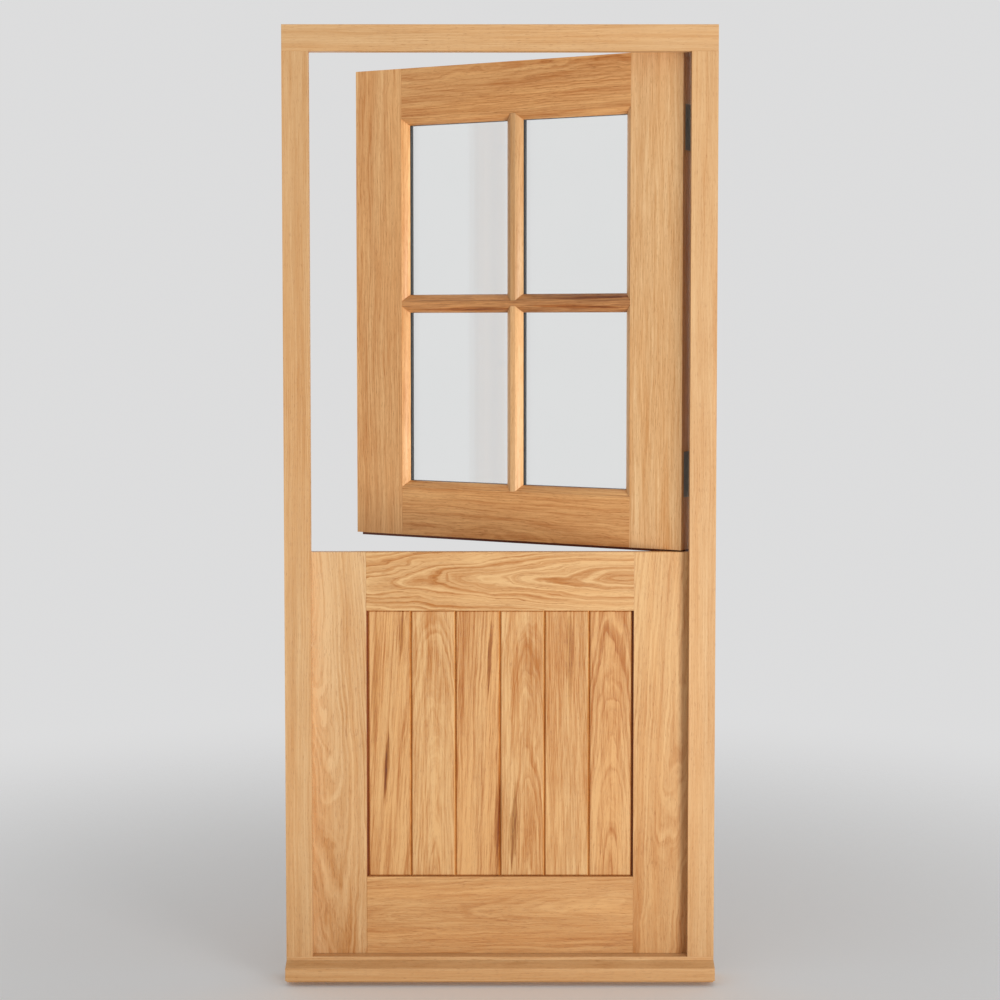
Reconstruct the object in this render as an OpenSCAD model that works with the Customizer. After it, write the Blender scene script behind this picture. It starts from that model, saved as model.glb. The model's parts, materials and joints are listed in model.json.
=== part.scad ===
// Stable door: two oak leaves hung one above the other in an oak frame, opening into the room.
// X runs across the opening with the hinges at +X, +Y is the room side and Z is up.
// The origin is the middle of the sill's underside. Sizes are in millimetres.

/* [Leaves] */
// Width of both leaves
leaf_w = 838; // [762:1:926]
// Thickness of both leaves
leaf_t = 44; // [44:1:50]
// Height of the pair, from the foot of the lower leaf to the head of the upper one
pair_h = 1981; // [1900:1:2100]
// Height of the lower leaf's outer face
lower_h = 895; // [850:1:950]
// Angle at which the upper leaf stands open
open_angle = 29; // [0:1:60]
// Clear gap round each leaf
gap = 3; // [2.5:0.5:4]

/* [Meeting edges] */
// How far the upper leaf's tongue hangs below its outer face
meet_step = 8; // [6:1:12]
// Thickness of the lower leaf's lip, which laps in front of the tongue
meet_lip = 22; // [18:1:24]

/* [Lower leaf] */
// Width of the lower stiles
lower_stile_w = 127; // [110:1:140]
// Height of the lower leaf's top rail
lower_top_h = 128; // [100:1:150]
// Height of the lower leaf's bottom rail
lower_bottom_h = 179; // [150:1:200]
// Thickness of the boards in the panel
board_t = 20; // [18:1:22]
// Width of each board's half of the V between boards
board_v = 3.4; // [2:0.2:4]
// Depth of the V between boards, on both faces
board_v_d = 5; // [3:0.5:5.5]
// How far the boards stand back from the leaf's outer face
panel_set_back = 6; // [4:1:12]
// Width of the open quirk between the boards and the stiles
panel_quirk = 3.5; // [3:0.5:6]

/* [Upper leaf] */
// Width of the upper stiles, with their moulding
upper_stile_w = 140; // [125:1:150]
// Height of the upper leaf's top rail, with its moulding
upper_top_h = 131; // [110:1:150]
// Height of the upper leaf's bottom rail, with its moulding
upper_bottom_h = 127; // [110:1:150]
// Width of the glazing bars
bar_w = 42; // [40:1:46]

/* [Moulding and glazing] */
// Width of the moulding round each light
lip_w = 15; // [14:0.5:16]
// Depth from the outer face to the glass
lip_d = 14.5; // [12:0.5:15]
// Radius of the moulding's shallow curve
moulding_r = 30; // [20:1:60]
// Height of the step between the moulding and the face
quirk = 1; // [0.5:0.25:2]
// Thickness of one pane of glass
glass_t = 4; // [4:0.5:5]
// Space between the panes of a sealed unit
cavity = 10; // [8:1:16]

/* [Frame] */
// Depth of the frame, from outside to the room
frame_d = 70; // [70:1:120]
// Width of the frame's face
frame_w = 57; // [52:1:70]
// Width of the rebate that takes the leaves
rebate_w = 12; // [10:1:14]
// How far the sill's nose stands out of the frame
sill_nose = 30; // [20:1:40]

/* [Hinges] */
// Height of a hinge
hinge_h = 100; // [90:5:120]
// Distance of the pin's centre from the room face of the leaves
pin_offset = 6.5; // [6.5:0.5:8]
// Distance of each hinge's middle from the end of its leaf
hinge_inset = 165; // [140:5:220]

/* [Bolts] */
// Travel of each bolt
bolt_throw = 28; // [26:1:30]
// Height of the lower leaf's bolt above the foot of the leaf
lower_bolt_h = 450; // [350:10:600]
// Height of the upper leaf's bolt above the foot of that leaf
upper_bolt_h = 560; // [450:10:700]

/* [Hidden] */
$fn = 64;

// Sides of the opening
HINGE_SIDE = 1;
LOCK_SIDE = -1;

// Across the opening
leaf_x = leaf_w / 2;
rebate_x = leaf_x + gap;
stop_x = rebate_x - rebate_w;
frame_x = stop_x + frame_w;

// Through the frame
room_y = frame_d / 2;
face_y = room_y - leaf_t;
mid_y = (room_y + face_y) / 2;
stop_gap = 1;
stop_y = face_y - stop_gap;

// Up the opening
sill_h = frame_w;
sill_rebate_z = sill_h - rebate_w;
sill_step = 7;
sill_slope = 10;
sill_drip = 12;
lower_z0 = sill_rebate_z + gap;
lower_z1 = lower_z0 + lower_h;
upper_z0 = lower_z1 + gap;
upper_z1 = lower_z0 + pair_h;
head_rebate_z = upper_z1 + gap;
head_z0 = head_rebate_z - rebate_w;
head_z1 = head_z0 + frame_w;

// Joinery
tenon_t = 14;
tenon_l = 45;
tenon_shoulder = 22;
frame_tenon_l = 30;
frame_tenon_set_in = 7;
bar_tenon_l = 15;
bar_tenon_t = 8;
bar_tenon_set_in = 1;
past = 1;

// Lower panel
opening_x = leaf_x - lower_stile_w;
panel_z0 = lower_z0 + lower_bottom_h;
panel_z1 = lower_z1 - lower_top_h;
board_count = 6;
board_pitch = 2 * opening_x / board_count;
board_y = face_y + panel_set_back;
board_mid_y = board_y + board_t / 2;
board_fit = 0.1;
panel_groove = 10;
edge_tongue_t = 8;
edge_tongue_l = panel_groove - 1;
tongue_t = 6;
tongue_l = 6;

// Moulding and lights
sight_x = leaf_x - upper_stile_w;
sight_z0 = upper_z0 + upper_bottom_h;
sight_z1 = upper_z1 - upper_top_h;
light_w = (2 * sight_x - bar_w) / 2;
light_h = (sight_z1 - sight_z0 - bar_w) / 2;
shoulder_x = sight_x + lip_w;
bar_core = bar_w - 2 * lip_w;
bar_stub_l = bar_core / 2 - 1;
cross_z = (sight_z0 + sight_z1) / 2;
glass_edge = 12;
spacer_w = 11;
inner_glass_d = lip_d + glass_t + cavity;
bead_d = inner_glass_d + glass_t;
bead_set_back = 3;
bead_nose = 1;
bead_land = 2;
light_count = 4;

// Hinges
plate_t = 3;
plate_w = 32;
knuckle_r = 6.2;
knuckle_count = 5;
knuckle_pitch = hinge_h / knuckle_count;
knuckle_gap = 0.4;
pin_r = 3.2;
pin_fit = 0.05;
pin_head_r = 4.6;
pin_head_h = 3;
pin_xy = [leaf_x + gap / 2, room_y + pin_offset];
hinge_z = [
    lower_z0 + hinge_inset, lower_z1 - hinge_inset,
    upper_z0 + hinge_inset, upper_z1 - hinge_inset
];
hinge_count = len(hinge_z);

// Screws
screw_r = 2;
screw_head_r = 4;
screw_head_h = 2.2;
screw_fit = 0.05;
hinge_screw_l = 28;
bolt_screw_l = 18;
hinge_screw_spots = [[-38, 10], [-14, 22], [14, 22], [38, 10]];

// Bolts, in a frame with the rod along +X and the leaf's face at Z = 0
bolt_plate = [90, 32, 2];
bolt_edge = 5;
rod_r = 5;
rod_h = 9;
rod_fit = 0.2;
rod_nose = bolt_plate.x / 2 - 2;
rod_tail = 1 - bolt_plate.x / 2 - bolt_throw;
rod_chamfer = 1.5;
knob_x = -25;
knob_top = 24;
knob_ball_r = 5;
guide_l = 14;
guide_r = 7.5;
keep_x = [55, rod_nose + bolt_throw + 6];
keep_w = 40;
bolt_screw_spots = [[-24, -11], [-24, 11], [24, -11], [24, 11]];
keep_screw_spots = [[66, -14], [66, 14]];
bolt_stile_x = leaf_x - lower_stile_w / 2;
bolt_heights = [lower_z0 + lower_bolt_h, upper_z0 + upper_bolt_h];

// Fixings through the jambs
fixing_r = 4;
fixing_plug_r = 8;
fixing_plug_d = 10;
fixing_y = (stop_y - room_y) / 2;
fixing_z = [200, 740, 1340, 1880];

oak = "#d9a96f";
oak_dark = "#b67f4b";
black = "#1b1b1d";
steel = "#b9b6ae";

module block(low, high) {
    translate(low) cube(high - low);
}

// A leaf's pieces are drawn shut, and the upper leaf is swung about the pins
module swung() {
    pin = [pin_xy.x, pin_xy.y, 0];
    translate(pin) rotate([0, 0, -open_angle]) translate(-pin) children();
}

module on_side(side) {
    mirror([side == LOCK_SIDE ? 1 : 0, 0, 0]) children();
}

// ---- Screws ----

module screw_body(length, extra = 0) {
    translate([0, 0, -length]) cylinder(r = screw_r + extra, h = length);
    translate([0, 0, -screw_head_h])
        cylinder(r1 = screw_r + extra, r2 = screw_head_r + extra, h = screw_head_h);
}

module screw(length) {
    slot = [2 * screw_head_r, 0.9, 1];
    difference() {
        screw_body(length);
        translate([0, 0, -slot.z / 2]) cube([slot.x + past, slot.y, slot.z + 0.01], center = true);
    }
}

// ---- Hinges ----

module at_hinge(n) {
    translate([pin_xy.x, pin_xy.y, hinge_z[n - 1]]) children();
}

// Screws of one plate, drawn on the leaf's side of the pin, with their heads towards the gap
module hinge_screw_places() {
    for (spot = hinge_screw_spots)
        translate([-gap / 2, -pin_offset - spot.y, spot.x]) rotate([0, 90, 0]) children();
}

module plate_pocket() {
    block([-gap / 2 - plate_t, -pin_offset - plate_w, -hinge_h / 2], [-gap / 2 + past, past, hinge_h / 2]);
}

// One half of a butt hinge on the leaf's side of the pin, with the knuckles from number first
module hinge_half(first) {
    knuckle_h = knuckle_pitch - knuckle_gap;
    difference() {
        union() {
            block(
                [-gap / 2 - plate_t, -pin_offset - plate_w, -hinge_h / 2],
                [-gap / 2, -pin_offset, hinge_h / 2]
            );
            for (k = [first : 2 : knuckle_count - 1])
                translate([0, 0, -hinge_h / 2 + k * knuckle_pitch + knuckle_gap / 2]) {
                    cylinder(r = knuckle_r, h = knuckle_h);
                    block([-gap / 2 - plate_t, -pin_offset - past, 0], [-gap / 2, 0, knuckle_h]);
                }
        }
        cylinder(r = pin_r + pin_fit, h = hinge_h + 2 * past, center = true);
        hinge_screw_places() screw_body(hinge_screw_l, screw_fit);
    }
}

module frame_plate(n) {
    color(steel) at_hinge(n) mirror([1, 0, 0]) hinge_half(0);
}

module leaf_plate(n) {
    color(steel) at_hinge(n) hinge_half(1);
}

module hinge_pin() {
    translate([0, 0, -hinge_h / 2]) cylinder(r = pin_r, h = hinge_h);
    for (end = [-1, 1])
        translate([0, 0, end * (hinge_h + pin_head_h) / 2])
            cylinder(r = pin_head_r, h = pin_head_h, center = true);
}

module hinge_pins(first) {
    color(steel) for (n = [first, first + 1]) at_hinge(n) hinge_pin();
}

// ---- Bolts ----

// Puts a bolt on the lock stile: the rod shoots across to the jamb
module at_jamb_bolt(z) {
    edge = bolt_plate.x / 2 + bolt_edge;
    translate([-leaf_x + edge, room_y, z]) rotate([90, 0, 180]) children();
}

// Puts a bolt at the foot of the upper leaf: the rod shoots down to the lower leaf
module at_meeting_bolt() {
    edge = bolt_plate.x / 2 + bolt_edge;
    translate([-bolt_stile_x, room_y, upper_z0 - meet_step + edge])
        rotate([0, -90, 0]) rotate([90, 0, 180]) children();
}

module guide(x0, length) {
    translate([x0, 0, rod_h]) rotate([0, 90, 0]) cylinder(r = guide_r, h = length);
    block([x0, -guide_r, 0], [x0 + length, guide_r, rod_h]);
}

module rod_bore(x0, length) {
    translate([x0 - past, 0, rod_h]) rotate([0, 90, 0])
        cylinder(r = rod_r + rod_fit, h = length + 2 * past);
}

module bolt_screw_places(spots) {
    for (spot = spots) translate([spot.x, spot.y, bolt_plate.z]) children();
}

module bolt_body() {
    color(steel) difference() {
        union() {
            translate([-bolt_plate.x / 2, -bolt_plate.y / 2, 0]) cube(bolt_plate);
            guide(-bolt_plate.x / 2, guide_l);
            guide(bolt_plate.x / 2 - guide_l, guide_l);
        }
        rod_bore(-bolt_plate.x / 2, bolt_plate.x);
        bolt_screw_places(bolt_screw_spots) screw_body(bolt_screw_l, screw_fit);
    }
}

module bolt_rod() {
    rod_l = rod_nose - rod_tail - 2 * rod_chamfer;
    color(steel) {
        translate([rod_tail, 0, rod_h]) rotate([0, 90, 0]) {
            cylinder(r1 = rod_r - rod_chamfer, r2 = rod_r, h = rod_chamfer);
            translate([0, 0, rod_chamfer]) cylinder(r = rod_r, h = rod_l);
            translate([0, 0, rod_chamfer + rod_l])
                cylinder(r1 = rod_r, r2 = rod_r - rod_chamfer, h = rod_chamfer);
        }
        translate([knob_x, 0, rod_h]) cylinder(r = rod_r - 1, h = knob_top - rod_h);
        translate([knob_x, 0, knob_top]) sphere(r = knob_ball_r);
    }
}

module bolt_keep() {
    loop_l = guide_l;
    loop_x = (keep_x[0] + keep_x[1] - loop_l) / 2;
    color(steel) difference() {
        union() {
            block([keep_x[0], -keep_w / 2, 0], [keep_x[1], keep_w / 2, bolt_plate.z]);
            guide(loop_x, loop_l);
        }
        rod_bore(loop_x, loop_l);
        bolt_screw_places(keep_screw_spots) screw_body(bolt_screw_l, screw_fit);
    }
}

// ---- Frame ----

module fixing_holes() {
    for (z = fixing_z)
        translate([stop_x, fixing_y, z]) rotate([0, 90, 0]) {
            translate([0, 0, -past]) cylinder(r = fixing_r, h = frame_w + 2 * past);
            translate([0, 0, -past]) cylinder(r = fixing_plug_r, h = fixing_plug_d + past);
        }
}

module frame_tenon(z0, z1) {
    block(
        [stop_x + frame_tenon_set_in, frame_tenon_set_in - room_y, z0],
        [frame_x - frame_tenon_set_in, stop_y - frame_tenon_set_in, z1]
    );
}

module jamb() {
    difference() {
        union() {
            block([stop_x, -room_y, sill_h], [frame_x, room_y, head_z0]);
            frame_tenon(sill_h - frame_tenon_l, sill_h);
            frame_tenon(head_z0, head_z0 + frame_tenon_l);
        }
        block([stop_x - past, stop_y, sill_h - past], [rebate_x, room_y + past, head_z0 + past]);
        fixing_holes();
    }
}

module hinge_jamb() {
    color(oak) difference() {
        jamb();
        for (n = [1 : hinge_count]) at_hinge(n) mirror([1, 0, 0]) {
            plate_pocket();
            hinge_screw_places() screw_body(hinge_screw_l, screw_fit);
        }
    }
}

module lock_jamb() {
    color(oak) difference() {
        on_side(LOCK_SIDE) jamb();
        for (z = bolt_heights) at_jamb_bolt(z)
            bolt_screw_places(keep_screw_spots) screw_body(bolt_screw_l, screw_fit);
    }
}

module head() {
    color(oak) difference() {
        block([-frame_x, -room_y, head_z0], [frame_x, room_y, head_z1]);
        block([-rebate_x, stop_y, head_z0 - past], [rebate_x, room_y + past, head_rebate_z]);
        for (side = [LOCK_SIDE, HINGE_SIDE])
            on_side(side) frame_tenon(head_z0 - past, head_z0 + frame_tenon_l);
    }
}

module sill() {
    nose_y = -room_y - sill_nose;
    weathering = sill_h - sill_step;
    color(oak) difference() {
        translate([-frame_x, 0, 0]) rotate([90, 0, 90]) linear_extrude(2 * frame_x) polygon([
            [-room_y, 0],
            [room_y, 0],
            [room_y, sill_h],
            [-room_y, sill_h],
            [-room_y, weathering],
            [nose_y, weathering - sill_slope],
            [nose_y, sill_drip],
            [-room_y, sill_drip]
        ]);
        block([-rebate_x, stop_y, sill_rebate_z], [rebate_x, room_y + past, sill_h + past]);
        for (side = [LOCK_SIDE, HINGE_SIDE])
            on_side(side) frame_tenon(sill_h - frame_tenon_l, sill_h + past);
    }
}

// ---- Lower leaf ----

module lower_meeting_cut() {
    block([-leaf_w, face_y + meet_lip, lower_z1 - meet_step], [leaf_w, room_y + past, lower_z1 + past]);
}

module lower_tenons(side) {
    on_side(side) {
        tenon(opening_x, lower_z0 + tenon_shoulder, panel_z0 - tenon_shoulder);
        tenon(opening_x, panel_z1 + tenon_shoulder, lower_z1 - tenon_shoulder);
    }
}

module tenon(x, z0, z1) {
    block([x, mid_y - tenon_t / 2, z0], [x + tenon_l, mid_y + tenon_t / 2, z1]);
}

module lower_stile(side) {
    difference() {
        on_side(side) block([opening_x, face_y, lower_z0], [leaf_x, room_y, lower_z1]);
        lower_meeting_cut();
        lower_tenons(side);
        on_side(side) block(
            [opening_x - past, board_mid_y - edge_tongue_t / 2, panel_z0 - panel_groove],
            [opening_x + panel_groove, board_mid_y + edge_tongue_t / 2, panel_z1 + panel_groove]
        );
    }
}

module lower_hinge_stile() {
    color(oak) difference() {
        lower_stile(HINGE_SIDE);
        hinge_housings([1, 2]);
    }
}

module hinge_housings(numbers) {
    for (n = numbers) at_hinge(n) {
        plate_pocket();
        hinge_screw_places() screw_body(hinge_screw_l, screw_fit);
    }
}

module lower_lock_stile() {
    color(oak) difference() {
        lower_stile(LOCK_SIDE);
        at_jamb_bolt(bolt_heights[0]) bolt_screw_places(bolt_screw_spots) screw_body(bolt_screw_l, screw_fit);
        at_meeting_bolt() bolt_screw_places(keep_screw_spots) screw_body(bolt_screw_l, screw_fit);
    }
}

module lower_rail(z0, z1, groove_z0) {
    difference() {
        union() {
            block([-opening_x, face_y, z0], [opening_x, room_y, z1]);
            for (side = [LOCK_SIDE, HINGE_SIDE])
                on_side(side) tenon(opening_x, z0 + tenon_shoulder, z1 - tenon_shoulder);
        }
        lower_meeting_cut();
        block(
            [-opening_x - past, board_mid_y - edge_tongue_t / 2, groove_z0],
            [opening_x + past, board_mid_y + edge_tongue_t / 2, groove_z0 + panel_groove]
        );
    }
}

module lower_top_rail() {
    color(oak) lower_rail(panel_z1, lower_z1, panel_z1);
}

module lower_bottom_rail() {
    color(oak) lower_rail(lower_z0, panel_z0, panel_z0 - panel_groove);
}

// A board's section between two edges: V edges on both faces
module v_edged(start, end) {
    polygon([
        [start, board_v_d], [start + board_v, 0], [end - board_v, 0], [end, board_v_d],
        [end, board_t - board_v_d], [end - board_v, board_t],
        [start + board_v, board_t], [start, board_t - board_v_d]
    ]);
}

module edge_tongue(start, end) {
    translate([start, (board_t - edge_tongue_t) / 2]) square([end - start, edge_tongue_t]);
}

// Section across board n, with a tongue towards the hinges and a groove on the other edge.
// The first and last boards have a thicker tongue towards their stile, across the open quirk.
module board_section(n) {
    w = board_pitch - 2 * board_fit;
    first = n == 1;
    last = n == board_count;
    difference() {
        union() {
            v_edged(first ? panel_quirk : 0, last ? w - panel_quirk : w);
            if (first)
                edge_tongue(-edge_tongue_l, panel_quirk + past);
            if (last)
                edge_tongue(w - panel_quirk - past, w + edge_tongue_l);
            else
                translate([w - past, (board_t - tongue_t) / 2]) square([tongue_l + past, tongue_t]);
        }
        if (!first)
            translate([-past, (board_t - tongue_t) / 2 - board_fit])
                square([tongue_l + 2 * past, tongue_t + 2 * board_fit]);
    }
}

// Section up a board: V edges against the rails, and a tongue in each rail
module board_profile() {
    height = panel_z1 - panel_z0;
    v_edged(board_fit, height - board_fit);
    edge_tongue(-edge_tongue_l, height + edge_tongue_l);
}

module lower_board(n) {
    x0 = -opening_x + (n - 1) * board_pitch + board_fit;
    height = panel_z1 - panel_z0 + 2 * panel_groove;
    color(oak) translate([x0, board_y, panel_z0]) intersection() {
        translate([0, 0, -panel_groove]) linear_extrude(height) board_section(n);
        translate([board_pitch + panel_groove, 0, 0]) rotate([0, -90, 0])
            linear_extrude(board_pitch + 2 * panel_groove) board_profile();
    }
}

// ---- Upper leaf ----

// The tongue's outer face stands back from the lower leaf's lip by the stop gap
module upper_meeting_cut() {
    block(
        [-leaf_w, face_y - past, upper_z0 - meet_step - past],
        [leaf_w, face_y + meet_lip + stop_gap, upper_z0]
    );
}

// Lights are numbered across from the lock side, first the bottom row
function light_side(n) = n % 2 == 1 ? LOCK_SIDE : HINGE_SIDE;
function light_row(n) = n <= 2 ? -1 : 1;
function light_centre(n) = [
    light_side(n) * (bar_w + light_w) / 2,
    face_y,
    cross_z + light_row(n) * (bar_w + light_h) / 2
];

// The four edges of a light, as turns about Y from its hinge-side edge
TO_HINGE = 0;
TO_FOOT = 90;
TO_LOCK = 180;
TO_HEAD = 270;

function edge_length(edge) = edge % 180 == 0 ? light_h : light_w;

// Runs a moulding section along one edge of a light, mitred at both ends.
// The section's X is the distance outwards from the sight line, and its Y the depth from the outer face.
module along_edge(n, edge) {
    length = edge_length(edge);
    reach = edge_length(edge + 90) / 2;
    out = lip_w + past;
    translate(light_centre(n)) rotate([0, edge, 0]) translate([reach, 0, 0]) intersection() {
        translate([0, 0, -length / 2 - out]) linear_extrude(length + 2 * out) children();
        rotate([90, 0, 0]) translate([0, 0, -leaf_t - past]) linear_extrude(leaf_t + 2 * past) polygon([
            [0, -length / 2], [0, length / 2], [out, length / 2 + out], [out, -length / 2 - out]
        ]);
    }
}

// Moulding from the glass at the sight line up to a small step below the face, in one shallow curve
module moulding_section() {
    chord = [lip_w, quirk - lip_d];
    length = norm(chord);
    inwards = [-chord.y, chord.x] / length;
    centre = [0, lip_d] + chord / 2 + sqrt(pow(moulding_r, 2) - pow(length / 2, 2)) * inwards;
    intersection() {
        square([lip_w, lip_d]);
        translate(centre) circle(r = moulding_r);
    }
}

module lip(n, edge) {
    along_edge(n, edge) moulding_section();
}

// Bead with its inner edge sloped back from the sight line
module bead_section() {
    slope = min(leaf_t - bead_d - bead_nose, lip_w - bead_set_back - bead_land);
    polygon([
        [bead_set_back, bead_d],
        [lip_w, bead_d],
        [lip_w, leaf_t],
        [bead_set_back + slope, leaf_t],
        [bead_set_back, leaf_t - slope]
    ]);
}

module bar_tenon(x, z) {
    block(
        [x - past, mid_y - bar_tenon_t / 2, z - bar_core / 2 + bar_tenon_set_in],
        [x + bar_tenon_l, mid_y + bar_tenon_t / 2, z + bar_core / 2 - bar_tenon_set_in]
    );
}

module upper_tenons(side) {
    on_side(side) {
        tenon(shoulder_x, upper_z0 + tenon_shoulder, sight_z0 - lip_w - tenon_shoulder);
        tenon(shoulder_x, sight_z1 + lip_w + tenon_shoulder, upper_z1 - tenon_shoulder);
    }
}

module upper_stile(side) {
    lights = [for (n = [1 : light_count]) if (light_side(n) == side) n];
    difference() {
        union() {
            on_side(side) block([shoulder_x, face_y, upper_z0 - meet_step], [leaf_x, room_y, upper_z1]);
            for (n = lights) lip(n, side == HINGE_SIDE ? TO_HINGE : TO_LOCK);
        }
        upper_meeting_cut();
        upper_tenons(side);
        on_side(side) bar_tenon(shoulder_x, cross_z);
    }
}

module upper_hinge_stile() {
    color(oak) swung() difference() {
        upper_stile(HINGE_SIDE);
        hinge_housings([3, 4]);
    }
}

module upper_lock_stile() {
    color(oak) swung() difference() {
        upper_stile(LOCK_SIDE);
        at_jamb_bolt(bolt_heights[1]) bolt_screw_places(bolt_screw_spots) screw_body(bolt_screw_l, screw_fit);
        at_meeting_bolt() bolt_screw_places(bolt_screw_spots) screw_body(bolt_screw_l, screw_fit);
    }
}

// Loose tenon centred on the end of an upright bar
module upright_bar_tenon(z, length) {
    translate([0, 0, z]) block(
        [-bar_core / 2 + bar_tenon_set_in, mid_y - bar_tenon_t / 2, -length],
        [bar_core / 2 - bar_tenon_set_in, mid_y + bar_tenon_t / 2, length]
    );
}

// Where the bar above or below the level bar meets the rail, and where it meets the level bar
function bar_foot(row) = cross_z + row * ((sight_z1 - sight_z0) / 2 + lip_w);
function bar_shoulder(row) = cross_z + row * bar_core / 2;

module upper_rail(z0, z1, row) {
    shoulder_z0 = max(z0, upper_z0);
    difference() {
        union() {
            block([-shoulder_x, face_y, z0], [shoulder_x, room_y, z1]);
            for (side = [LOCK_SIDE, HINGE_SIDE])
                on_side(side) tenon(shoulder_x, shoulder_z0 + tenon_shoulder, z1 - tenon_shoulder);
            for (n = [1 : light_count]) if (light_row(n) == row) lip(n, row == 1 ? TO_HEAD : TO_FOOT);
        }
        upper_meeting_cut();
        upright_bar_tenon(bar_foot(row), bar_tenon_l);
    }
}

module upper_top_rail() {
    color(oak) swung() upper_rail(sight_z1 + lip_w, upper_z1, 1);
}

module upper_bottom_rail() {
    color(oak) swung() upper_rail(upper_z0 - meet_step, sight_z0 - lip_w, -1);
}

// The level bar runs through, and the upright bars are mitred to its moulding
module level_bar() {
    color(oak_dark) swung() difference() {
        union() {
            block(
                [-shoulder_x, face_y, cross_z - bar_core / 2],
                [shoulder_x, room_y, cross_z + bar_core / 2]
            );
            for (side = [LOCK_SIDE, HINGE_SIDE]) on_side(side) bar_tenon(shoulder_x, cross_z);
            for (n = [1 : light_count]) lip(n, light_row(n) == 1 ? TO_FOOT : TO_HEAD);
        }
        for (row = [-1, 1]) upright_bar_tenon(bar_shoulder(row), bar_stub_l);
    }
}

module upright_bar(row) {
    z0 = min(bar_foot(row), bar_shoulder(row));
    z1 = max(bar_foot(row), bar_shoulder(row));
    color(oak) swung() {
        block([-bar_core / 2, face_y, z0], [bar_core / 2, room_y, z1]);
        upright_bar_tenon(bar_foot(row), bar_tenon_l);
        upright_bar_tenon(bar_shoulder(row), bar_stub_l);
        for (n = [1 : light_count])
            if (light_row(n) == row) lip(n, light_side(n) == LOCK_SIDE ? TO_HINGE : TO_LOCK);
    }
}

module upper_upright_bar() {
    upright_bar(1);
}

module lower_upright_bar() {
    upright_bar(-1);
}

// ---- Glazing ----

module pane(n, depth) {
    size = [light_w + 2 * glass_edge, glass_t, light_h + 2 * glass_edge];
    color("lightblue", 0.3) swung() translate(light_centre(n))
        translate([-size.x / 2, depth, -size.z / 2]) cube(size);
}

module outer_glass(n) {
    pane(n, lip_d);
}

module inner_glass(n) {
    pane(n, inner_glass_d);
}

module spacer(n) {
    outside = [light_w + 2 * spacer_w, cavity, light_h + 2 * spacer_w];
    inside = [light_w, cavity + 2 * past, light_h];
    middle = light_centre(n) + [0, lip_d + glass_t + cavity / 2, 0];
    color(black) swung() translate(middle) difference() {
        cube(outside, center = true);
        cube(inside, center = true);
    }
}

module beads(n) {
    color(oak) swung()
        for (edge = [TO_HINGE, TO_FOOT, TO_LOCK, TO_HEAD]) along_edge(n, edge) bead_section();
}

// ---- Fastenings ----

module lower_bolt_body() {
    at_jamb_bolt(bolt_heights[0]) bolt_body();
}

module lower_bolt_rod() {
    at_jamb_bolt(bolt_heights[0]) bolt_rod();
}

module lower_bolt_keep() {
    at_jamb_bolt(bolt_heights[0]) bolt_keep();
}

module upper_bolt_body() {
    swung() at_jamb_bolt(bolt_heights[1]) bolt_body();
}

module upper_bolt_rod() {
    swung() at_jamb_bolt(bolt_heights[1]) bolt_rod();
}

module upper_bolt_keep() {
    at_jamb_bolt(bolt_heights[1]) bolt_keep();
}

module meeting_bolt_body() {
    swung() at_meeting_bolt() bolt_body();
}

module meeting_bolt_rod() {
    swung() at_meeting_bolt() bolt_rod();
}

module meeting_bolt_keep() {
    at_meeting_bolt() bolt_keep();
}

module frame_screws() {
    color(steel) {
        for (n = [1 : hinge_count]) at_hinge(n) mirror([1, 0, 0]) hinge_screw_places() screw(hinge_screw_l);
        for (z = bolt_heights) at_jamb_bolt(z) bolt_screw_places(keep_screw_spots) screw(bolt_screw_l);
    }
}

module lower_leaf_screws() {
    color(steel) {
        for (n = [1, 2]) at_hinge(n) hinge_screw_places() screw(hinge_screw_l);
        at_jamb_bolt(bolt_heights[0]) bolt_screw_places(bolt_screw_spots) screw(bolt_screw_l);
        at_meeting_bolt() bolt_screw_places(keep_screw_spots) screw(bolt_screw_l);
    }
}

module upper_leaf_screws() {
    color(steel) swung() {
        for (n = [3, 4]) at_hinge(n) hinge_screw_places() screw(hinge_screw_l);
        at_jamb_bolt(bolt_heights[1]) bolt_screw_places(bolt_screw_spots) screw(bolt_screw_l);
        at_meeting_bolt() bolt_screw_places(bolt_screw_spots) screw(bolt_screw_l);
    }
}

hinge_jamb();
lock_jamb();
head();
sill();
lower_hinge_stile();
lower_lock_stile();
lower_top_rail();
lower_bottom_rail();
for (n = [1 : board_count]) lower_board(n);
upper_hinge_stile();
upper_lock_stile();
upper_top_rail();
upper_bottom_rail();
level_bar();
upper_upright_bar();
lower_upright_bar();
for (n = [1 : light_count]) outer_glass(n);
for (n = [1 : light_count]) spacer(n);
for (n = [1 : light_count]) inner_glass(n);
for (n = [1 : light_count]) beads(n);
for (n = [1 : hinge_count]) frame_plate(n);
for (n = [1 : 2]) leaf_plate(n);
for (n = [3 : 4]) swung() leaf_plate(n);
hinge_pins(1);  // lower_hinge_pins
hinge_pins(3);  // upper_hinge_pins
lower_bolt_body();
lower_bolt_rod();
lower_bolt_keep();
upper_bolt_body();
upper_bolt_rod();
upper_bolt_keep();
meeting_bolt_body();
meeting_bolt_rod();
meeting_bolt_keep();
frame_screws();
lower_leaf_screws();
upper_leaf_screws();
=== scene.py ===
"""Looks of the stable door: satin oak, clear double glazing, black spacers and brushed steel fastenings."""

import json
import math

import bpy
from mathutils import Matrix, Vector


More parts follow.
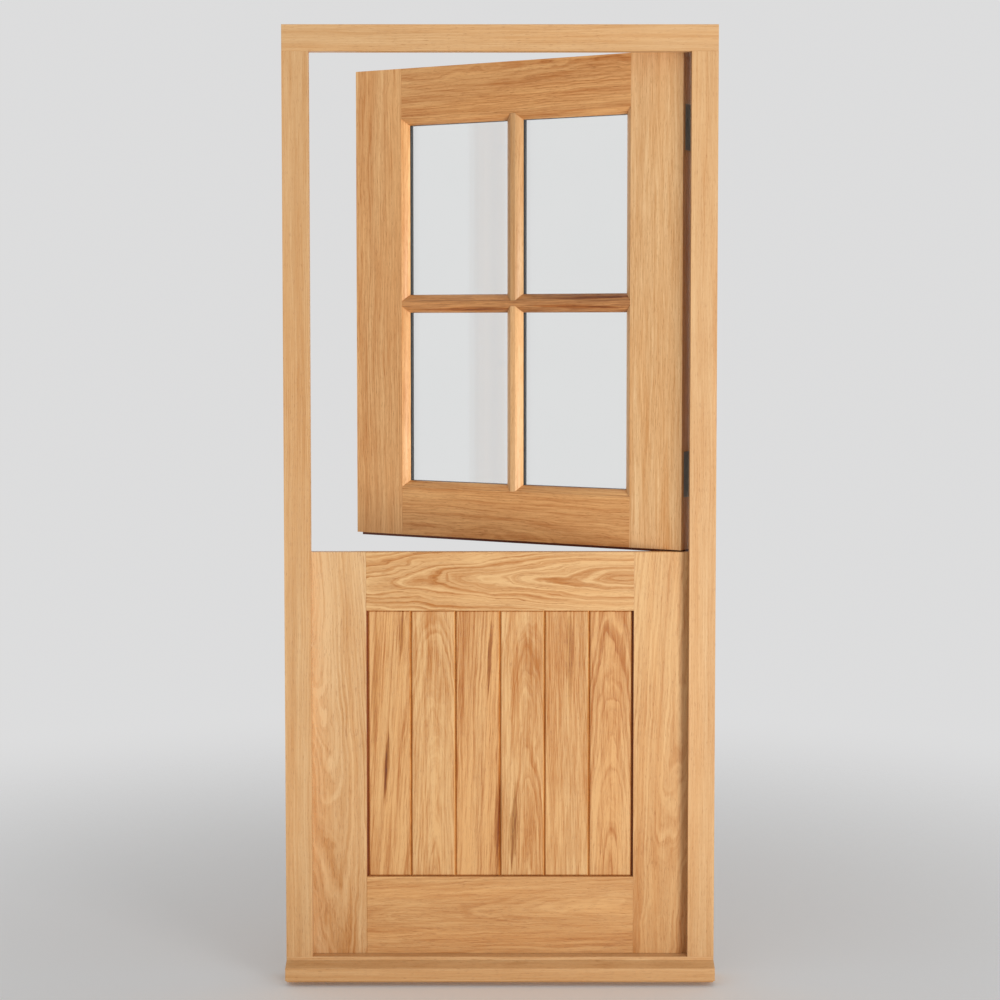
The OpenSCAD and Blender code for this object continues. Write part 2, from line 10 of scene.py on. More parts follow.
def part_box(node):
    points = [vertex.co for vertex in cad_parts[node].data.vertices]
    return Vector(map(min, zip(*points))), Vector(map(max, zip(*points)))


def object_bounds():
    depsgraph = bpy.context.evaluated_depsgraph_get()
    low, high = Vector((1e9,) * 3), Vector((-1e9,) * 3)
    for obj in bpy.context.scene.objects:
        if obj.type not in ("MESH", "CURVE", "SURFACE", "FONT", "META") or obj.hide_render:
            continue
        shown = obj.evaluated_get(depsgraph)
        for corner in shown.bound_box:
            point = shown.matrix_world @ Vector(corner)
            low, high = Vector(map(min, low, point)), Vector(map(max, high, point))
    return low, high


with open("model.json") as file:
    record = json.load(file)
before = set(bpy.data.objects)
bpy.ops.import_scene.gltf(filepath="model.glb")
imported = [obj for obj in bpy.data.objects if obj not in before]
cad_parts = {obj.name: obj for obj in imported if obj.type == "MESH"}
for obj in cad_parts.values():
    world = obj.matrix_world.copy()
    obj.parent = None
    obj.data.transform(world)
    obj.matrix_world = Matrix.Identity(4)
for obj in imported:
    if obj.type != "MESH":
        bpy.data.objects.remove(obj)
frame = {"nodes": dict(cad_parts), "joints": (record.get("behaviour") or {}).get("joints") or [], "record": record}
cad_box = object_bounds()

NODES = frame["nodes"]
RECORD = frame["record"]
JOINTS = {joint["name"]: joint for joint in frame["joints"]}

# The upper leaf stands open at rest: its hinge's lower limit is the angle back to shut
UPPER_HINGE = JOINTS["upper_leaf_hinge"]
PIN = Vector(UPPER_HINGE["pos_m"])
OPEN_ANGLE = math.radians(-UPPER_HINGE["range_deg"][0])
SHUT = (
    Matrix.Translation(PIN)
    @ Matrix.Rotation(OPEN_ANGLE, 4, "Z")
    @ Matrix.Translation(-PIN)
)
UPPER_LEAF = set(RECORD["behaviour"]["bodies"]["upper_leaf"])
ACROSS, UP = "across", "up"


def srgb(red, green, blue):
    """Linear colour, with alpha, from 0 to 255 display values."""

    def linear(value):
        value /= 255
        return value / 12.92 if value <= 0.04045 else ((value + 0.055) / 1.055) ** 2.4

    return (linear(red), linear(green), linear(blue), 1.0)


# ---- Node trees ----


class Tree:
    """Adds nodes to a node tree, wired as they are made. An input is a socket or a plain value."""

    def __init__(self, tree):
        self.tree = tree

    def add(self, kind, inputs=None, **settings):
        node = self.tree.nodes.new(kind)
        for name, value in settings.items():
            setattr(node, name, value)
        for key, value in (inputs or {}).items():
            self.feed(node.inputs[key], value)
        return node

    def feed(self, socket, value):
        if isinstance(value, bpy.types.NodeSocket):
            self.tree.links.new(value, socket)
        else:
            socket.default_value = value

    def math(self, operation, *values):
        inputs = dict(enumerate(values))
        return self.add("ShaderNodeMath", inputs, operation=operation).outputs[0]

    def vector(self, operation, *values):
        inputs = dict(enumerate(values))
        return self.add("ShaderNodeVectorMath", inputs, operation=operation).outputs[0]

    def noise(self, place, scale, detail=2.0, roughness=0.5, dimensions="3D"):
        inputs = {"Vector": place, "Scale": scale, "Detail": detail, "Roughness": roughness}
        node = self.add("ShaderNodeTexNoise", inputs, noise_dimensions=dimensions)
        return node.outputs[0]

    def own_place(self):
        """The place on the piece itself, in metres, which moves with its body."""
        return self.add("ShaderNodeTexCoord").outputs["Object"]

    def split(self, vector):
        return self.add("ShaderNodeSeparateXYZ", {0: vector}).outputs

    def combine(self, first, second, third):
        return self.add("ShaderNodeCombineXYZ", {0: first, 1: second, 2: third}).outputs[0]

    def centred(self, value, amount):
        """A value that runs from 0 to 1, moved to run as far below zero as above it."""
        return self.math("MULTIPLY", self.math("SUBTRACT", value, 0.5), amount)

    def drawn_out(self, place, pattern):
        """Noise drawn out along the third axis, after one of the oak's patterns."""
        across, along, detail, roughness = pattern
        return self.noise(self.vector("MULTIPLY", place, (across, across, along)), 1.0, detail, roughness)

    def ramp(self, value, low, high, start=0.0, end=1.0):
        inputs = {"Value": value, 1: low, 2: high, 3: start, 4: end}
        node = self.add("ShaderNodeMapRange", inputs, interpolation_type="SMOOTHSTEP")
        return node.outputs[0]

    def mix(self, share, first, second, blend="MIX"):
        node = self.add("ShaderNodeMix", data_type="RGBA", blend_type=blend)
        self.feed(node.inputs[0], share)
        self.feed(node.inputs[6], first)
        self.feed(node.inputs[7], second)
        return node.outputs[2]


def new_material(name):
    material = bpy.data.materials.new(name)
    material.use_nodes = True
    material.node_tree.nodes.clear()
    return material, Tree(material.node_tree)


def finish_material(tree, shader):
    tree.add("ShaderNodeOutputMaterial", {"Surface": shader})


# ---- Oak ----

OAK_INPUTS = {
    "Place": ("NodeSocketVector", (0, 0, 0)),
    "Seed": ("NodeSocketFloat", 0.0),
    "Pith across": ("NodeSocketFloat", 0.0),
    "Pith depth": ("NodeSocketFloat", 0.08),
    "Drift": ("NodeSocketFloat", 0.0),
    "Lean": ("NodeSocketFloat", 0.0),
    "Ring": ("NodeSocketFloat", 0.006),
    "Wave": ("NodeSocketFloat", 1.0),
    "Slant": ("NodeSocketFloat", 0.0),
    "Deepen": ("NodeSocketFloat", 0.0),
    "Figure": ("NodeSocketFloat", 0.6),
    "Fibre": ("NodeSocketFloat", 0.6),
    "Light": ("NodeSocketColor", (1, 1, 1, 1)),
    "Dark": ("NodeSocketColor", (0, 0, 0, 1)),
}


OAK_OUTPUTS = {
    "Colour": "NodeSocketColor",
    "Roughness": "NodeSocketFloat",
    "Height": "NodeSocketFloat",
}

# Patterns in the oak: features a metre across the grain and along it, then the noise's detail and roughness
BROAD_WAVE = (7.0, 2.2, 2.0, 0.5)
MIDDLE_WAVE = (24.0, 9.0, 2.0, 0.5)
SMALL_WAVE = (80.0, 24.0, 2.0, 0.5)
EARLY_PATCHES = (9.0, 4.0, 2.0, 0.5)
BROAD_FIBRES = (14.0, 0.9, 2.0, 0.5)
COARSE_FIBRES = (75.0, 3.2, 3.0, 0.6)
FINE_FIBRES = (260.0, 9.0, 3.0, 0.7)
HAIRS = (800.0, 22.0, 2.0, 0.6)
PORE_DASHES = (1200.0, 60.0, 1.0, 0.5)
RUSSET_PATCHES = (30.0, 1.6, 2.0, 0.5)
GLOSS_PATCHES = (60.0, 6.0, 2.0, 0.5)

MIDDLE_SHADE = 0.40
RUSSET_TINT = (1.0, 0.925, 0.83, 1)
PORE_TINT = (0.58, 0.40, 0.22, 1)


def oak_wave(tree, still, amount):
    """How far the grain wavers through the board, in metres."""
    broad = tree.centred(tree.drawn_out(still, BROAD_WAVE), 0.034)
    middle = tree.centred(tree.drawn_out(still, MIDDLE_WAVE), 0.012)
    small = tree.centred(tree.drawn_out(still, SMALL_WAVE), 0.0030)
    wave = tree.math("ADD", broad, tree.math("ADD", middle, small))
    return tree.math("MULTIPLY", wave, amount)


def oak_ring_count(tree, given, parts, wave):
    """How many growth rings lie between here and a wavy, leaning pith."""
    drifted = tree.math("MULTIPLY_ADD", parts[2], given["Drift"], given["Pith across"])
    leaned = tree.math("MULTIPLY_ADD", parts[2], given["Lean"], given["Pith depth"])
    across = tree.math("SUBTRACT", parts[0], drifted)
    depth = tree.math("ADD", tree.math("ADD", parts[1], leaned), wave)
    squares = tree.math("ADD", tree.math("MULTIPLY", across, across), tree.math("MULTIPLY", depth, depth))
    radius = tree.math("MULTIPLY_ADD", wave, 0.4, tree.math("SQRT", squares))
    return tree.math("DIVIDE", radius, given["Ring"])


def oak_rings(tree, given, parts, still, count):
    """The shade of the growth rings, and where their porous early wood lies."""
    along = tree.math("MULTIPLY", parts[2], 1.5)

    def bands(width, detail, roughness):
        """Noise that changes from ring to ring, and slowly along the board."""
        place = tree.combine(tree.math("MULTIPLY", count, width), given["Seed"], along)
        return tree.noise(place, 1.0, detail, roughness)

    wide = bands(0.30, 1.0, 0.5)
    lines = tree.ramp(bands(1.25, 3.0, 0.62), 0.28, 0.72)
    phase = tree.math("FRACT", tree.math("ADD", count, tree.centred(wide, 2.2)))
    early = tree.math("MULTIPLY", tree.ramp(phase, 0.0, 0.15), tree.ramp(phase, 0.15, 0.9, 1.0, 0.0))
    presence = tree.ramp(tree.drawn_out(still, EARLY_PATCHES), 0.35, 0.65, 0.25, 1.0)
    early = tree.math("MULTIPLY", early, presence)
    shade = tree.math("ADD", tree.centred(lines, 0.75), tree.centred(wide, 0.9))
    shade = tree.math("ADD", shade, tree.centred(early, 0.35))
    return tree.math("MULTIPLY", shade, given["Figure"]), early


def oak_fibres(tree, swayed, amount):
    """The shade of the fibres, and the finest of them, which also stand in relief."""
    broad = tree.centred(tree.drawn_out(swayed, BROAD_FIBRES), 0.45)
    coarse = tree.centred(tree.drawn_out(swayed, COARSE_FIBRES), 0.65)
    fine = tree.centred(tree.drawn_out(swayed, FINE_FIBRES), 1.00)
    hairs = tree.centred(tree.drawn_out(swayed, HAIRS), 0.65)
    shade = tree.math("ADD", tree.math("ADD", broad, coarse), tree.math("ADD", fine, hairs))
    return tree.math("MULTIPLY", shade, amount), hairs


def oak_pores(tree, swayed, early):
    """Open pores: short dashes along the grain, thickest in the early wood."""
    edge = tree.math("MULTIPLY_ADD", early, -0.07, 0.64)
    dashes = tree.drawn_out(swayed, PORE_DASHES)
    return tree.ramp(tree.math("SUBTRACT", dashes, edge), 0.0, 0.06)


def oak_colour(tree, given, swayed, shade, pores):
    """From light to dark with the shade, redder in patches and darker in the pores."""
    colour = tree.mix(shade, given["Light"], given["Dark"])
    russet = tree.ramp(tree.drawn_out(swayed, RUSSET_PATCHES), 0.40, 0.65)
    colour = tree.mix(tree.math("MULTIPLY", russet, 0.6), colour, RUSSET_TINT, "MULTIPLY")
    return tree.mix(tree.math("MULTIPLY", pores, 0.50), colour, PORE_TINT, "MULTIPLY")


def build_oak_group():
    """Plain-sawn oak as a solid: growth rings, wavy fibres, pores and broad changes of tone.

    Place is in metres from the board's middle: X across its width, Y through it and Z along the grain."""
    group = bpy.data.node_groups.new("oak", "ShaderNodeTree")
    for name, (kind, value) in OAK_INPUTS.items():
        socket = group.interface.new_socket(name, in_out="INPUT", socket_type=kind)
        if kind != "NodeSocketVector":
            socket.default_value = value
    for name, kind in OAK_OUTPUTS.items():
        group.interface.new_socket(name, in_out="OUTPUT", socket_type=kind)
    tree = Tree(group)
    given = tree.add("NodeGroupInput").outputs
    parts = tree.split(given["Place"])

    def shifted(place, factor):
        """The place moved by the seed, so that no two boards share a pattern."""
        seeds = tree.combine(given["Seed"], given["Seed"], given["Seed"])
        return tree.vector("ADD", place, tree.vector("MULTIPLY", seeds, factor))

    still = shifted(given["Place"], (3.1, 1.7, 5.3))
    wave = oak_wave(tree, still, given["Wave"])
    count = oak_ring_count(tree, given, parts, wave)
    figure, early = oak_rings(tree, given, parts, still, count)

    # The fibres slant and sway along the board
    sway = tree.math("MULTIPLY_ADD", parts[2], given["Slant"], tree.math("MULTIPLY", wave, 0.55))
    swayed = shifted(tree.combine(tree.math("ADD", parts[0], sway), parts[1], parts[2]), (2.3, 4.1, 1.9))
    fibres, hairs = oak_fibres(tree, swayed, given["Fibre"])
    pores = oak_pores(tree, swayed, early)

    # Deepen changes the shade steadily along the piece: on the lower stiles this is painted shade, darker towards
    # their foot
    ends = tree.math("MULTIPLY_ADD", parts[2], given["Deepen"], MIDDLE_SHADE)
    shade = tree.math("ADD", tree.math("ADD", figure, fibres), ends)
    shade = tree.add("ShaderNodeClamp", {0: shade}).outputs[0]

    rough = tree.math("MULTIPLY_ADD", pores, 0.16, 0.42)
    rough = tree.math("ADD", rough, tree.centred(tree.drawn_out(still, GLOSS_PATCHES), 0.10))
    height = tree.math("MULTIPLY_ADD", pores, -1.0, tree.math("MULTIPLY", early, -0.25))
    height = tree.math("ADD", height, hairs)
    colour = oak_colour(tree, given, swayed, shade, pores)
    tree.add("NodeGroupOutput", {"Colour": colour, "Roughness": rough, "Height": height})
    return group


def shut_box(node):
    """Lowest and highest corners of a node, with the upper leaf shut."""
    turn = SHUT if node in UPPER_LEAF else Matrix.Identity(4)
    places = [turn @ vertex.co for vertex in NODES[node].data.vertices]
    low = Vector([min(place[i] for place in places) for i in range(3)])
    high = Vector([max(place[i] for place in places) for i in range(3)])
    return low, high


def board_place(tree, node, grain):
    """The place along the board's own axes from its middle, which stays on the board as it moves."""
    low, high = shut_box(node)
    place = tree.own_place()
    if node in UPPER_LEAF:
        turn = {"Vector": place, "Center": PIN, "Angle": OPEN_ANGLE}
        place = tree.add("ShaderNodeVectorRotate", turn, rotation_type="Z_AXIS").outputs[0]
    place = tree.vector("SUBTRACT", place, (low + high) / 2)
    if grain == ACROSS:
        parts = tree.split(place)
        place = tree.combine(parts[2], parts[1], parts[0])
    return place


STREAK_RAGS = (260.0, 260.0, 16.0)
STREAK_TINT = (0.60, 0.75, 1.0, 1)
STREAK_TIP = 0.15


def dark_streak(tree, place, colour, streak):
    """A dark streak: a wavering dark lens along the grain, which tapers and fades out at both ends. It is a
    mineral streak on the boards and painted shade on the level bar.
    """
    parts = tree.split(place)
    width = streak["width"]
    along = tree.math("SUBTRACT", parts[2], streak["along"])
    wander = tree.centred(tree.noise(tree.vector("MULTIPLY", place, STREAK_RAGS), 1.0), width)
    middle = tree.math("MULTIPLY_ADD", along, streak["slant"], streak["across"])
    off = tree.math("ABSOLUTE", tree.math("ADD", tree.math("SUBTRACT", parts[0], middle), wander))
    reach = tree.math("DIVIDE", tree.math("ABSOLUTE", along), streak["length"] / 2)
    taper = tree.ramp(reach, 0.0, 1.0, width, width * STREAK_TIP)
    line = tree.math("SUBTRACT", 1.0, tree.math("MINIMUM", tree.math("DIVIDE", off, taper), 1.0))
    ends = tree.ramp(reach, 0.5, 1.0, 1.0, 0.0)
    share = tree.math("MULTIPLY", tree.math("MULTIPLY", line, ends), streak["strength"])
    gamma = tree.math("MULTIPLY_ADD", share, 1.3, 1.0)
    deep = tree.add("ShaderNodeGamma", {"Color": colour, "Gamma": gamma}).outputs[0]
    return tree.mix(share, deep, STREAK_TINT, "MULTIPLY")


# Depths from the board's middle: where its face begins to dip, and the floor of its grooves
BOARD_FACE = 0.0098
GROOVE_FLOOR = 0.0050
# Painted shade in the grooves: an orange darkening on their slopes and a deeper one on their floors, standing for
# shadow and warm bounced light
GROOVE_SHADE_TINT = (1.0, 0.80, 0.46, 1)
FLOOR_SHADE_TINT = (0.42, 0.24, 0.20, 1)
FLOOR_FADE = 0.001


def painted_groove_shade(tree, place, colour):
    """Painted shade in the V grooves and the quirks: darkens them, most towards their floor, where shade falls."""
    depth = tree.math("ABSOLUTE", tree.split(place)[1])
    slope_shade = tree.ramp(depth, GROOVE_FLOOR, BOARD_FACE, 1.0, 0.0)
    colour = tree.mix(slope_shade, colour, GROOVE_SHADE_TINT, "MULTIPLY")
    floor_shade_share = tree.ramp(depth, GROOVE_FLOOR - FLOOR_FADE, GROOVE_FLOOR, 1.0, 0.0)
    return tree.mix(floor_shade_share, colour, FLOOR_SHADE_TINT, "MULTIPLY")


# The members whose foot carries the tongue, and how far it hangs below the leaf's outer face
MEETING = ("upper_lock_stile", "upper_bottom_rail", "upper_hinge_stile")
TONGUE = 0.008
TONGUE_FADE = 0.0012
# Painted shade for the tongue, which sits back under the leaf's outer face
TONGUE_SHADE_TINT = (0.16, 0.07, 0.035, 1)


def painted_tongue_shade(tree, node, colour):
    """Painted shade on the tongue under the upper leaf: darkened up to the foot of the leaf's outer face, behind
    which it sits back.
    """
    height = tree.split(tree.own_place())[2]
    foot = shut_box(node)[0].z + TONGUE
    share = tree.ramp(height, foot - TONGUE_FADE, foot, 1.0, 0.0)
    return tree.mix(share, colour, TONGUE_SHADE_TINT, "MULTIPLY")


BLOND, PALE, WARM, HONEY = "blond", "pale", "warm", "honey"
RUSSET, AMBER, HEART = "russet", "amber", "heart"

# The light and the dark colour of each tone of oak
OAK_TONES = {
    BLOND: (srgb(247, 204, 150), srgb(205, 140, 73)),
    PALE: (srgb(222, 182, 132), srgb(181, 119, 54)),
    WARM: (srgb(246, 196, 136), srgb(195, 120, 50)),
    HONEY: (srgb(220, 176, 121), srgb(176, 110, 46)),
    RUSSET: (srgb(218, 170, 113), srgb(170, 102, 39)),
    AMBER: (srgb(236, 183, 121), srgb(182, 107, 42)),
    HEART: (srgb(222, 160, 100), srgb(124, 66, 28)),
}


def oak_material(node, grain, tone, streaks=(), **figure):
    """Oak for one member. Each word in figure sets the oak group's input of that name."""
    material, tree = new_material("oak_" + node)
    place = board_place(tree, node, grain)
    light, dark = OAK_TONES[tone]
    wood = tree.add("ShaderNodeGroup", node_tree=OAK_GROUP)
    inputs = {"Place": place, "Light": light, "Dark": dark}
    inputs.update({key.replace("_", " ").capitalize(): value for key, value in figure.items()})
    for key, value in inputs.items():
        tree.feed(wood.inputs[key], value)
    colour = wood.outputs["Colour"]
    for streak in streaks:
        colour = dark_streak(tree, place, colour, streak)
    # Painted shade in the boards' V grooves and quirks
    if node.startswith("lower_board"):
        colour = painted_groove_shade(tree, place, colour)
    # Painted shade on the tongue under the upper leaf
    if node in MEETING:
        colour = painted_tongue_shade(tree, node, colour)
    relief = {"Height": wood.outputs["Height"], "Strength": 0.35, "Distance": 0.0004}
    bump = tree.add("ShaderNodeBump", relief)
    shader = tree.add("ShaderNodeBsdfPrincipled", {
        "Base Color": colour,
        "Roughness": wood.outputs["Roughness"],
        "Normal": bump.outputs[0],
        "IOR": 1.45,
        "Specular IOR Level": 0.42,
    })
    finish_material(tree, shader.outputs[0])
    return material


# ---- Steel, glass and spacer ----


def steel_material():
    """Brushed steel: fine upright scratches and a slight change of tone."""
    material, tree = new_material("steel_satin")
    place = tree.own_place()
    brushed = tree.noise(tree.vector("MULTIPLY", place, (900.0, 900.0, 60.0)), 1.0, 3.0)
    blotch = tree.noise(place, 40.0, 3.0)
    colour = tree.mix(blotch, srgb(182, 179, 173), srgb(208, 206, 201))
    rough = tree.math("MULTIPLY_ADD", brushed, 0.18, 0.24)
    bump = tree.add("ShaderNodeBump", {"Height": brushed, "Strength": 0.12, "Distance": 0.0002})
    shader = tree.add("ShaderNodeBsdfPrincipled", {
        "Base Color": colour,
        "Roughness": rough,
        "Normal": bump.outputs[0],
        "Metallic": 0.7,
    })
    finish_material(tree, shader.outputs[0])
    return material


# Share of the light that glass mirrors straight on
GLASS_MIRROR = 0.028


def glass_material():
    """Flat float glass: clear straight on, and more of a mirror at a slant, after Schlick's rule."""
    material, tree = new_material("glass_clear")
    place = tree.own_place()
    haze = tree.noise(place, 6.0, 3.0)
    tint = tree.mix(haze, (0.990, 0.994, 0.993, 1), (0.997, 0.999, 0.998, 1))
    clear = tree.add("ShaderNodeBsdfTransparent", {"Color": tint})
    mirror = tree.add("ShaderNodeBsdfGlossy", {"Color": (1, 1, 1, 1), "Roughness": 0.02})
    slant = tree.add("ShaderNodeLayerWeight", {"Blend": 0.5}).outputs["Facing"]
    share = tree.math("MULTIPLY_ADD", tree.math("POWER", slant, 5.0), 1 - GLASS_MIRROR, GLASS_MIRROR)
    shader = tree.add("ShaderNodeMixShader", {0: share, 1: clear.outputs[0], 2: mirror.outputs[0]})
    finish_material(tree, shader.outputs[0])
    return material


def spacer_material():
    """Black bars of the sealed units, with a fine matt grain."""
    material, tree = new_material("spacer_black")
    place = tree.own_place()
    grain = tree.noise(place, 1800.0, 2.0)
    colour = tree.mix(grain, srgb(22, 22, 23), srgb(40, 40, 41))
    bump = tree.add("ShaderNodeBump", {"Height": grain, "Strength": 0.2, "Distance": 0.0002})
    shader = tree.add("ShaderNodeBsdfPrincipled", {
        "Base Color": colour,
        "Roughness": tree.math("MULTIPLY_ADD", grain, 0.2, 0.5),
        "Normal": bump.outputs[0],
    })
    finish_material(tree, shader.outputs[0])
    return material


# ---- Which wood each member is cut from ----

OAK_GROUP = build_oak_group()

STRAIGHT = dict(pith_across=0.16, pith_depth=0.10, ring=0.0045, wave=0.8, figure=0.35, fibre=0.6)
FRAME_WOOD = dict(tone=PALE, **STRAIGHT)
# Painted shade: deepen darkens the lower stiles towards their foot
STILE_WOOD = dict(grain=UP, fibre=0.70, wave=1.1, deepen=-0.44)
BOARD_WOOD = dict(grain=UP, fibre=1.7)
UPPER_WOOD = dict(fibre=1.1)

# The pith's place and the rings' width are in metres. Drift, lean and slant are metres a metre of length.
WOOD = {
    "hinge_jamb": dict(grain=UP, seed=1.0, **FRAME_WOOD),
    "lock_jamb": dict(grain=UP, seed=2.0, **FRAME_WOOD),
    "head": dict(grain=ACROSS, seed=3.0, **FRAME_WOOD),
    "sill": dict(grain=ACROSS, seed=4.0, **FRAME_WOOD),
    "lower_hinge_stile": dict(
        seed=5.0, tone=HONEY, pith_across=0.030, drift=0.10, pith_depth=0.062, lean=-0.075,
        ring=0.0075, figure=0.60, **STILE_WOOD),
    "lower_lock_stile": dict(
        seed=6.0, tone=PALE, pith_across=-0.030, drift=-0.09, pith_depth=0.062, lean=-0.070,
        ring=0.0070, figure=0.65, **STILE_WOOD),
    "lower_top_rail": dict(
        grain=ACROSS, seed=7.0, tone=HONEY, pith_across=0.004, pith_depth=0.066, lean=-0.10,
        ring=0.0060, wave=1.3, figure=1.20, fibre=0.55),
    "lower_bottom_rail": dict(
        grain=ACROSS, seed=8.0, tone=RUSSET, pith_across=0.012, drift=0.05, pith_depth=0.075, lean=-0.04,
        ring=0.0080, wave=0.9, figure=0.55, fibre=0.85),
    "lower_board_1": dict(
        seed=9.0, tone=RUSSET, pith_across=0.09, drift=0.06, pith_depth=0.05, slant=-0.06,
        ring=0.0060, figure=0.85, **BOARD_WOOD),
    "lower_board_2": dict(
        seed=10.0, tone=HONEY, pith_depth=0.046, lean=0.09,
        ring=0.0064, figure=0.70, **BOARD_WOOD),
    "lower_board_3": dict(
        seed=11.0, tone=RUSSET, pith_across=-0.10, drift=0.03, pith_depth=0.05, slant=-0.05,
        ring=0.0060, figure=0.85, **BOARD_WOOD),
    "lower_board_4": dict(
        seed=12.0, tone=HONEY, pith_across=0.008, pith_depth=0.046, lean=0.085,
        ring=0.0064, figure=0.70, **BOARD_WOOD),
    "lower_board_5": dict(
        seed=13.0, tone=HONEY, pith_across=0.08, drift=-0.03, pith_depth=0.06,
        ring=0.0055, figure=0.5, **BOARD_WOOD),
    "lower_board_6": dict(
        seed=14.0, tone=RUSSET, pith_across=-0.006, pith_depth=0.048, lean=0.10,
        ring=0.0068, figure=0.75, **BOARD_WOOD),
    "upper_hinge_stile": dict(
        grain=UP, seed=15.0, tone=BLOND, pith_across=0.14, pith_depth=0.08,
        ring=0.0050, figure=0.40, **UPPER_WOOD),
    "upper_lock_stile": dict(
        grain=UP, seed=16.0, tone=WARM, pith_across=-0.12, pith_depth=0.08,
        ring=0.0050, figure=0.45, **UPPER_WOOD),
    "upper_top_rail": dict(
        grain=ACROSS, seed=17.0, tone=AMBER, pith_across=0.06, pith_depth=0.07, lean=0.03,
        ring=0.0052, figure=0.55, **UPPER_WOOD),
    "upper_bottom_rail": dict(
        grain=ACROSS, seed=18.0, tone=AMBER, pith_across=-0.06, pith_depth=0.07, lean=0.02,
        ring=0.0055, figure=0.60, **UPPER_WOOD),
    "upper_upright_bar": dict(grain=UP, seed=19.0, **FRAME_WOOD),
    "lower_upright_bar": dict(grain=UP, seed=20.0, tone=BLOND, **STRAIGHT),
    "level_bar": dict(
        grain=ACROSS, seed=21.0, tone=HEART, pith_across=0.06, pith_depth=0.05,
        ring=0.0045, figure=0.6, fibre=1.3, deepen=0.8),
}
BEADS = ("beads_1", "beads_2", "beads_3", "beads_4")
for place_in_row, beads in enumerate(BEADS):
    WOOD[beads] = dict(grain=UP, seed=22.0 + place_in_row, **FRAME_WOOD)

# Dark streaks, placed from the middle of their board, in metres: mineral streaks on the boards, and painted shade
# on the level bar
STREAKS = {
    "lower_board_1": [
        dict(across=-0.003, along=-0.045, slant=0.065, width=0.0075, length=0.20, strength=0.95),
        dict(across=0.030, along=0.24, slant=0.06, width=0.007, length=0.16, strength=0.6),
        dict(across=-0.028, along=0.12, slant=0.03, width=0.010, length=0.40, strength=0.3),
    ],
    "lower_board_3": [
        dict(across=0.023, along=0.19, slant=0.05, width=0.0055, length=0.22, strength=0.85),
        dict(across=0.042, along=-0.18, slant=0.02, width=0.010, length=0.30, strength=0.6),
    ],
    "lower_board_4": [
        dict(across=-0.022, along=-0.19, slant=0.06, width=0.011, length=0.24, strength=0.7),
    ],
    "lower_board_5": [
        dict(across=0.004, along=0.20, slant=0.01, width=0.012, length=0.30, strength=0.4),
    ],
    # Painted shade: dark lines along the level bar's lower half and near its top edge, standing for the shaded
    # slopes of its moulding
    "level_bar": [
        dict(across=-0.013, along=-0.12, slant=0.01, width=0.006, length=0.34, strength=0.5),
        dict(across=-0.008, along=0.16, slant=-0.02, width=0.006, length=0.30, strength=0.5),
        dict(across=0.012, along=0.20, slant=0.02, width=0.005, length=0.26, strength=0.4),
    ],
}


def dress(node, material):
    mesh = NODES[node].data
    mesh.materials.clear()
    mesh.materials.append(material)


WELD_REACH = 1e-5
ARRIS = 0.0007
ARRIS_SEGMENTS = 2
ARRIS_ANGLE = math.radians(32)


def soften_edges(node):
    """Rounds a piece's arrises. The imported faces share no corners, so they are welded first."""
    piece = NODES[node]
    weld = piece.modifiers.new("weld", "WELD")
    weld.merge_threshold = WELD_REACH
    bevel = piece.modifiers.new("arris", "BEVEL")
    bevel.width = ARRIS
    bevel.segments = ARRIS_SEGMENTS
    bevel.limit_method = "ANGLE"
    bevel.angle_limit = ARRIS_ANGLE
    bevel.use_clamp_overlap = True
    bevel.harden_normals = True


for member, wood in WOOD.items():
    dress(member, oak_material(member, streaks=STREAKS.get(member, ()), **wood))
    soften_edges(member)

OTHER_MATERIALS = {"steel": steel_material(), "glass": glass_material(), "spacer": spacer_material()}
for subpart in RECORD["subparts"]:
    if subpart["material_slot"] in OTHER_MATERIALS:
        dress(subpart["node"], OTHER_MATERIALS[subpart["material_slot"]])


# ---- Floor, light and camera ----


# The floor's half width, and how far from the door it starts to fade and is gone
FLOOR_REACH = 9.0
FADE_START, FADE_END = 0.8, 3.2
FLOOR_PAINT = (0.92, 0.92, 0.92, 1)


def floor():
    """A pale floor that fades into the backdrop's tone away from the door."""
    mesh = bpy.data.meshes.new("floor")
    signs = ((-1, -1), (1, -1), (1, 1), (-1, 1))
    corners = [(x * FLOOR_REACH, y * FLOOR_REACH, 0) for x, y in signs]
    mesh.from_pydata(corners, [], [(0, 1, 2, 3)])
    plane = bpy.data.objects.new("floor", mesh)
    bpy.context.collection.objects.link(plane)
    material, tree = new_material("floor_pale")
    from_door = tree.add("ShaderNodeVectorMath", {0: tree.own_place()}, operation="LENGTH").outputs["Value"]
    shown = tree.ramp(from_door, FADE_START, FADE_END, 1.0, 0.0)
    paint = tree.add("ShaderNodeBsdfDiffuse", {"Color": FLOOR_PAINT})
    clear = tree.add("ShaderNodeBsdfTransparent")
    shader = tree.add("ShaderNodeMixShader", {0: shown, 1: clear.outputs[0], 2: paint.outputs[0]})
    finish_material(tree, shader.outputs[0])
    mesh.materials.append(material)


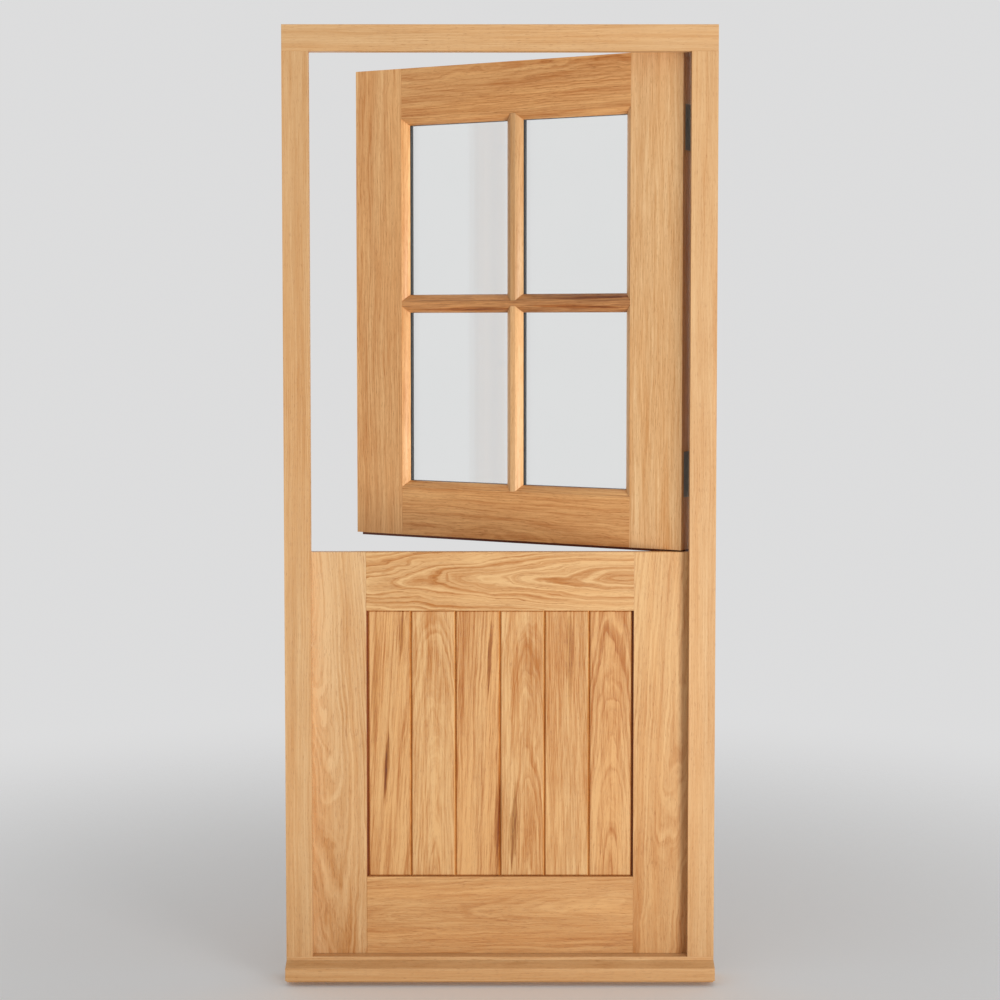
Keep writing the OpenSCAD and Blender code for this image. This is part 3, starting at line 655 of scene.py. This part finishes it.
def soft_light(name, place, target, size, power):
    """A square lamp that faces the target."""
    light = bpy.data.lights.new(name, "AREA")
    light.shape = "SQUARE"
    light.size = size
    light.energy = power
    lamp = bpy.data.objects.new(name, light)
    lamp.location = place
    lamp.rotation_euler = (Vector(target) - Vector(place)).to_track_quat("-Z", "Y").to_euler()
    bpy.context.collection.objects.link(lamp)


# How much bluer than grey the backdrop is
COOLNESS = 1.005


def backdrop(shown, glow, gleam):
    """A plain backdrop: its tone as seen, the light it gives and its tone in reflections."""
    world = bpy.data.worlds.new("backdrop")
    world.use_nodes = True
    tree = Tree(world.node_tree)
    background = world.node_tree.nodes["Background"]
    rays = tree.add("ShaderNodeLightPath").outputs
    seen = (shown, shown, shown * COOLNESS, 1)
    tone = tree.mix(rays["Is Camera Ray"], (glow, glow, glow, 1), seen)
    tone = tree.mix(rays["Is Glossy Ray"], tone, (gleam, gleam, gleam, 1))
    tree.feed(background.inputs["Color"], tone)
    bpy.context.scene.world = world


SENSOR_WIDTH = 36


def camera(distance, eye_height, shown_height, shift):
    """Faces the door at eye height, tilted so that foot and head lie as far from the picture's middle."""
    lens = bpy.data.cameras.new("camera")
    lens.sensor_width = SENSOR_WIDTH
    lens.lens = SENSOR_WIDTH * distance / shown_height
    lens.shift_y = shift
    eye = bpy.data.objects.new("camera", lens)
    top = cad_box[1][2]
    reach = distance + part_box("head")[0][1]
    down, up = math.atan(eye_height / reach), math.atan((top - eye_height) / reach)
    drop = (down - up) / 2 - math.atan(-shift * shown_height / distance)
    eye.location = (0, -distance, eye_height)
    eye.rotation_euler = (math.pi / 2 - drop, 0, 0)
    bpy.context.collection.objects.link(eye)
    bpy.context.scene.camera = eye


DOOR_MIDDLE = (0, 0, 1.0)
KEY_PLACE = (3.6, -5.1, 0.3)

floor()
backdrop(shown=0.72, glow=0.53, gleam=0.90)
soft_light("key", KEY_PLACE, DOOR_MIDDLE, size=2.2, power=305)
camera(distance=4.48, eye_height=1.44, shown_height=2.17, shift=-0.06)
bpy.context.scene.view_settings.view_transform = "Standard"
